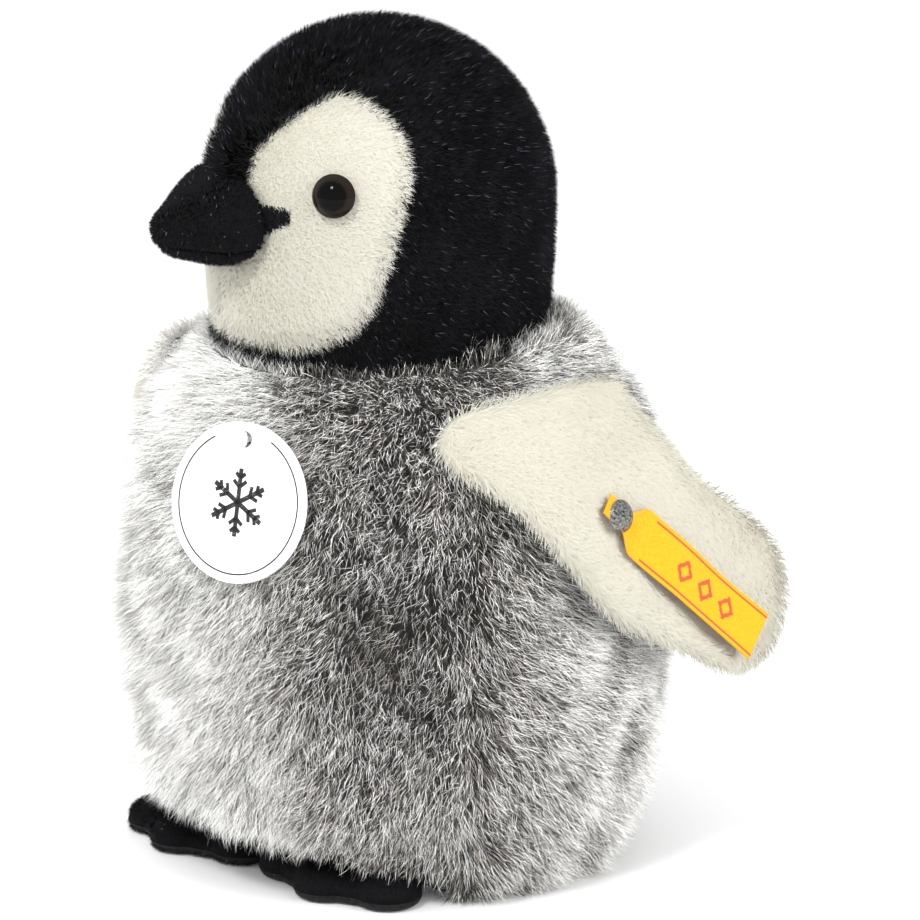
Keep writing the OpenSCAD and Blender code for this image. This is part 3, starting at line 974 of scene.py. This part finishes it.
def make_beak():
    """Both halves of the beak. The upper one stands for the stuffing too, which its slim bridge bares."""
    rng = np.random.default_rng(13)
    for cad, inside in (("upper_beak", ["beak_stuffing"]), ("lower_beak", [])):
        obj = cover(cad, f"{cad}_cover", beak_fit, velour, 0.6)
        sewn(obj, "head", "black_velour", 0.9, cad, *inside)
        nap(obj, "head", rng, 16, on_beak, head_comb)


make_beak()

# ---- flippers ----

SKIN_INSET = 0.7  # from the outline over the pile to the seam
SEAM_GAP = 0.02  # between two covers that meet face to face
FLIPPER_EDGE = 7.0  # how far in from the seam the pad is rounded
ROOT_FRONT = {1: ((-20.0, -5.0), 7.5), -1: ((-16.0, -6.0), 7.5)}
ROOT_BACK = ((7.5, -6.0), 9.5)
BEND = ((8.0, -27.0), 17.5)
BACK_GROWTH = {"width": 0.14, "lean": (30, 70), "clump": 0.3, "tuft": 16, "soft": 0.75}


def paddle_distance(p, side):
    """Signed distance from a flipper's seam, in its own plane."""
    front = ROOT_FRONT[side]
    slots = ((front, ROOT_BACK), (front, BEND), (ROOT_BACK, BEND), (BEND, PADDLE_TIP))
    return np.stack([slot_distance(p, a, b) for a, b in slots]).min(0) + SKIN_INSET


def crown(d, edge):
    """Height share of a stuffed pad at distance d inside its seam."""
    return np.sqrt(1 - (1 - np.clip(d / edge, 0, 1)) ** 2)


def drape(p):
    """How far the root lies inwards: its front corner on the shoulder, its top edge in the body's pile."""
    return 0.033 * np.clip(-12 - p[:, 0], 0, None) ** 2 + 5.5 * smooth(-18, 0, p[:, 1])


def flipper_height(front, left):
    """The height function of one flipper cover, for pad(). The left one dips round its rivet."""
    thick = FLIPPER_T / 2 - 1.4

    def height(p, d):
        middle = FLIPPER_T / 2 - drape(p)
        lumps = 1 + 0.06 * ripple(np.column_stack([p, p[:, 0] * 0]), 18, 51)
        swell = thick * crown(d, FLIPPER_EDGE) * lumps
        if left:
            swell = swell * (1 - 0.3 * np.exp(-((p - BUTTON_AT) ** 2).sum(1) / 14))
        if front:
            return middle + SEAM_GAP + swell, middle + SEAM_GAP
        return middle - SEAM_GAP, middle - SEAM_GAP - swell

    return height


def under_ribbon(p, side):
    """1 on the left flipper where the ribbon lies, and 0 elsewhere."""
    q = turned(flipper_local(p) - [*BUTTON_AT, 0], "z", -RIBBON_TURN)
    along, across = q[:, 0], np.abs(q[:, 1])
    return (side > 0) * (1 - smooth(4.6, 5.6, across)) * smooth(-5, -4, along) * (1 - smooth(30, 40, along))


def flipper_comb(p, side):
    """Down the flipper, towards a point below its tip."""
    q = mirrored(p, side)
    down = unit(flipper_place(np.array([28.0, -60.0, 4.0])) - q)
    return mirrored(down + 0.3 * np.stack([ripple(q, 16, seed) for seed in (52, 53, 54)], 1), side)


def back_shade(path, along, clump_value, own):
    """Pale grey with white tips, whiter towards the shoulder."""
    value = 3.9 + 2.1 * along[None, :] + ((own - 0.5) * 1.4)[:, None]
    return np.clip(value + 1.2 * smooth(66, 88, path[:, :1, 2]), 0, 6)


def sew_root(obj, body, side, rng):
    """Long shoulder pile along a flipper's sewn edge."""

    def keep(p, n):
        return flipper_local(mirrored(p, side))[:, 1] > -6 * rng.random(len(p)) ** 2 - 0.5

    p, n = surface(obj, 26.0, rng, keep)
    comb = unit(p * [1, 1, 0]) + [0, 0, -0.8]
    length = np.full(len(p), 5.5)
    growth = {"length": length, "width": 0.13, "lean": (30, 75), "segments": 3, "clump": 0.3, "stray": 0.8}
    pile(f"{body}_root_pile", body, "grey_long_pile", p, n, comb, GREYS, body_shade, rng, **growth)


def flipper_growth(front, fringe, flat):
    """How a flipper's pile grows: cream on its front, short under the ribbon, and longer on its back."""
    if front:
        length = (1.9 + 1.6 * fringe) * (1 - 0.6 * flat)
        return {"length": length, "lean": (32, 76), "segments": 2, "stray": 0.5, **CREAM_GROWTH}
    return {"length": 4.6 - 3.0 * fringe, "segments": 3, "stray": 0.5, **BACK_GROWTH}


def make_flipper_face(side, front, rng):
    """One cover of a flipper with its pile."""
    body = "left_flipper" if side > 0 else "right_flipper"
    label = f"{body}_front" if front else f"{body}_back"
    slot = "cream_short_pile" if front else "grey_long_pile"
    box = ((-35, -60), (48, 6))
    points, faces = pad(lambda p: paddle_distance(p, side), box, 0.8, flipper_height(front, side > 0))
    cloth = cream_cloth if front else backing_cloth
    obj = shell(f"{label}_cover", mirrored(flipper_place(points), side), faces, cloth)
    sewn(obj, body, slot, 0.7, label, *([f"{body}_wadding"] if front else []))
    facing = mirrored(flipper_place(np.array([0, 0, 1.0])) - flipper_place(np.zeros(3)), side)
    facing = facing if front else -facing
    if front and side < 0:
        sew_root(obj, body, side, rng)
    p, n = surface(obj, 13.0 if front else 6.0, rng, lambda p, n: n @ facing > 0.05)
    inside = -paddle_distance(flipper_local(mirrored(p, side))[:, :2], side)
    growth = flipper_growth(front, 1 - smooth(1.0, 5.0, inside), under_ribbon(p, side))
    shades, shade_of = (CREAMS, flipper_painted_shade) if front else (GREYS, back_shade)
    pile(f"{label}_pile", body, slot, p, n, flipper_comb(p, side), shades, shade_of, rng, **growth)


def make_flippers():
    """Both flippers, each with a cream front and a grey back."""
    rng = np.random.default_rng(14)
    for side in (1, -1):
        for front in (True, False):
            make_flipper_face(side, front, rng)


make_flippers()

# ---- feet ----

SOLE_Z = 1.9  # where the foot's top and sole meet
WEB_R = 5.0

sole_velour = fabric("black_sole", *VELOUR_COLOURS, 0.5, 0.12)


def toe_fields(p):
    """Distance from each toe's outline and from the heel's, one row each."""
    spots = [slot_distance(p, HEELS[h], TOES[t]) for h, t in TOE_SLOTS]
    spots.append(slot_distance(p, HEELS[0], HEELS[1]))
    return np.stack(spots)


def foot_distance(p):
    """Distance from the foot's outline, with the toes joined by webs."""
    webs = [slot_distance(p, (a[0], WEB_R), (b[0], WEB_R)) for a, b in zip(TOES, TOES[1:])]
    return np.minimum(toe_fields(p).min(0), np.minimum(*webs))


def top_height(p, d):
    """Rounded toes joined by lower webs."""
    rise = FOOT_T - SOLE_Z
    lobes = rise * crown(np.maximum(-toe_fields(p), 0), 6.0)
    web = 0.7 * rise * crown(d, 4.0)
    top = np.power((lobes**5).sum(0) + web**5, 1 / 5).clip(0, rise)
    return SOLE_Z + SEAM_GAP + top, np.full(len(p), SOLE_Z + SEAM_GAP)


def sole_height(p, d):
    """Flat against the floor, rounded up to the seam."""
    return np.full(len(p), SOLE_Z), SOLE_Z - (SOLE_Z - 0.1) * crown(d, 2.0)


def make_feet():
    """Each foot's top and sole, with a short nap."""
    rng = np.random.default_rng(15)

    def facing_up(p, n):
        return n[:, 2] > 0.05

    def facing_aside(p, n):
        return (n[:, 2] > -0.8) & (n[:, 2] < 0.2)

    def forward(p, n):
        return n * 0 + [0, -0.6, -0.6]

    for side, body in ((1, "left_foot"), (-1, "right_foot")):
        for part, height, cloth, keep, inside in (
            ("top", top_height, velour, facing_up, [f"{body}_wadding"]),
            ("sole", sole_height, sole_velour, facing_aside, []),
        ):
            points, faces = pad(foot_distance, ((0, -44), (44, -16)), 0.6, height)
            label = f"{body}_{part}"
            obj = shell(f"{label}_cover", mirrored(points, side) - [FEET_ASIDE, 0, 0], faces, cloth)
            sewn(obj, body, "black_velour", 0.6, label, *inside)
            nap(obj, body, rng, 14, keep, forward)


make_feet()

# ---- eyes ----


def eye_paint(name, middle, pupil, ring, roughness, **sockets):
    """A dark pupil in a lighter ring, by distance from the eye's middle."""
    m = material(name, ring, roughness, **sockets)
    place = node(m, "ShaderNodeTexCoord")
    reach = node(m, "ShaderNodeVectorMath", operation="DISTANCE")
    reach.inputs[1].default_value = tuple(middle * MM)
    share = node(m, "ShaderNodeMath", operation="DIVIDE")
    share.inputs[1].default_value = EYE_R * MM
    m.node_tree.links.new(place.outputs["Object"], reach.inputs[0])
    m.node_tree.links.new(reach.outputs["Value"], share.inputs[0])
    two_colours(m, share.outputs["Value"], pupil, ring, 0.66, 0.8)
    return m


def make_eyes():
    """Glossy painted domes, with the iris behind painted alike, and the fixings inside."""
    fixing = grained("eye_fixing", (0.7, 0.7, 0.7), 0.45, 1.0, 0.05)
    pupil, ring = (0.001, 0.001, 0.0012), (0.013, 0.009, 0.0062)
    for side, word in ((1, "left"), (-1, "right")):
        base = head_place(mirrored(eye_place(np.zeros(3)), side))
        top = head_place(mirrored(eye_place(np.array([0, 0, IRIS_T + LENS_T])), side))
        dome = eye_paint(f"{word}_eye_glass", top, pupil, ring, 0.04, Specular_IOR_Level=0.09)
        dress(f"{word}_eye_lens", dome)
        dress(f"{word}_iris", eye_paint(f"{word}_iris_paint", base, pupil, ring, 0.4))
        dress(f"{word}_eye_shank", fixing)
        dress(f"{word}_eye_washer", fixing)


make_eyes()

# ---- tag, ribbon and rivet ----

PATTERN_START = 15.0  # along the ribbon
DIAMOND_STEP = 6.0


def ribbon_place(p):
    """Points along the ribbon: X from the rivet's middle, Z outwards from the flipper's face."""
    return flipper_place(turned(p, "z", RIBBON_TURN) + [*BUTTON_AT, FLIPPER_T])


def ribbon_pattern(x, v):
    """True on the woven lines along both edges and on a row of small diamonds. v is -1 and 1 at the edges."""
    aside = np.abs(v)
    edges = (x > 8) & (aside > 0.8) & (aside < 0.88)
    beside = np.abs((x - PATTERN_START) % DIAMOND_STEP - DIAMOND_STEP / 2)
    outline = (beside / 2.2 + aside / 0.5 < 1) & (beside / 1.2 + aside / 0.27 > 1)
    return edges | (outline & (x > PATTERN_START) & (x < RIBBON_L - 6))


def make_ribbon():
    """A thin sheet pinched at the rivet, folded beside it and curving up away from the flipper."""
    along, across = 190, 48
    x = np.linspace(-RIBBON_ROOT_L, RIBBON_L, along + 1)
    gx, gv = np.meshgrid(x, np.linspace(-1, 1, across + 1), indexing="ij")
    pinch = 0.42 + 0.58 * smooth(1.5, 5.5, gx)
    y = gv * RIBBON_W / 2 * pinch
    fold = 0.4 * smooth(2.5, 5, gx) * (1 - smooth(5, 10, gx)) * np.cos(gv * 5.5)
    z = 0.3 + fold + 1.2 * smooth(3, 20, gx) + 0.9 * smooth(18, 40, gx) * (gx - 18) / 18
    z = z + 0.25 * np.sin(gx / 6.0) * gv
    middle = np.stack([gx, y, z], -1).reshape(-1, 3)
    quads = grid_quads(along + 1, across + 1)
    mesh = mesh_of("ribbon", ribbon_place(middle), quads)
    weave = {"pitch": 0.3, "depth": 0.04, "roughness": 0.5, "detail": 2.0, "Specular_IOR_Level": 0.25}
    yellow = fabric("yellow_satin", (0.72, 0.29, 0.006), (0.87, 0.39, 0.009), **weave)
    red = fabric("red_weft", (0.45, 0.05, 0.02), (0.62, 0.1, 0.04), **weave)
    obj = add_object("ribbon", mesh, [yellow, red])
    is_red = ribbon_pattern(gx.ravel()[quads].mean(1), gv.ravel()[quads].mean(1))
    mesh.polygons.foreach_set("material_index", is_red.astype(np.int32))
    modify(obj, "SOLIDIFY", thickness=RIBBON_T * 0.6 * MM, offset=0.0)
    ribbon_place(np.array([RIBBON_ROOT_L - 3, 0, 0.3])) * MM
    ribbon_place(np.array([RIBBON_ROOT_L + 6, 0, 0.3])) * MM
    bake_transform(obj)
    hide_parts("label_root", "label_ribbon")


def make_rivet():
    """Worn steel with dark pits."""
    steel = material("worn_steel", (0.2, 0.2, 0.19), 0.38, Metallic=1.0)
    grain = noise(steel, 0.45, 4.0)
    two_colours(steel, grain, (0.05, 0.05, 0.048), (0.32, 0.32, 0.3), 0.35, 0.65)
    bump(steel, grain, 0.12)
    dress("button_cap", steel)
    dress("button_washer", steel)


def print_quad(a, b, width):
    """The corners of a printed stroke between two points of a plane."""
    a, b = np.array(a, float), np.array(b, float)
    way = (b - a) / np.linalg.norm(b - a)
    side = np.array([-way[1], way[0]]) * width / 2
    return [a - side, b - side, b + side, a + side]


def direction(degrees):
    """A unit vector of a plane."""
    return np.array([math.cos(math.radians(degrees)), math.sin(math.radians(degrees))])


def snowflake(arm, width):
    """Strokes of a six-armed snowflake about the origin, with two pairs of twigs to an arm."""
    strokes = []
    for angle in range(30, 390, 60):
        strokes.append(print_quad((0, 0), direction(angle) * arm, width))
        for share, twig in ((0.45, 0.3), (0.72, 0.22)):
            fork = direction(angle) * arm * share
            for turn in (50, -50):
                strokes.append(print_quad(fork, fork + direction(angle + turn) * arm * twig, width * 0.8))
    return strokes


def circle_strokes(radius, width, sides, gap):
    """Strokes round a circle, which overlap a little and stop so many degrees either side of its top."""
    strokes = []
    for i in range(sides):
        a, b = (2 * math.pi * (i + k) / sides for k in (0, 1.02))
        if abs((math.degrees(a) - 90 + 180) % 360 - 180) > gap:
            points = [(radius * math.cos(t), radius * math.sin(t)) for t in (a, b)]
            strokes.append(print_quad(*points, width))
    return strokes


def make_tag():
    """The coated card with its printed ring and snowflake, and its pin."""
    gloss = {"Coat_Weight": 0.35, "Coat_Roughness": 0.15}
    card = grained("coated_card", (0.9, 0.9, 0.9), 0.32, 2.5, 0.015, 3.0, **gloss)
    dress("swing_tag", card)
    ink = grained("black_ink", (0.012, 0.012, 0.013), 0.35, 0.8, 0.01)
    strokes = circle_strokes(TAG_R - 1.6, 0.28, 96, 28) + snowflake(6.2, 0.9)
    points = [[*corner, TAG_OFF + TAG_T + 0.03] for stroke in strokes for corner in stroke]
    faces = np.arange(len(points)).reshape(-1, 4)
    obj = add_object("tag_print", mesh_of("tag_print", chest_place(np.array(points)), faces, False), [ink])
    modify(obj, "SOLIDIFY", thickness=0.02 * MM, offset=0.0)
    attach(obj, "tag")
    dress("tag_pin", grained("clear_nylon", (0.85, 0.85, 0.85), 0.3, 1.0, 0.02, Transmission_Weight=0.5))


def make_insides():
    """The stuffing and the pellet bag, which the covers hide."""
    fibre = fabric("stuffing_fibre", (0.75, 0.75, 0.73), (0.93, 0.93, 0.91), 1.2, 0.5)
    for cad in ("body_stuffing", "neck_stuffing", "head_stuffing"):
        dress(cad, fibre)
    dress("pellet_bag", fabric("pellet_cloth", (0.6, 0.57, 0.48), (0.82, 0.8, 0.71), 0.6, 0.15))


make_ribbon()
make_rivet()
make_tag()
make_insides()
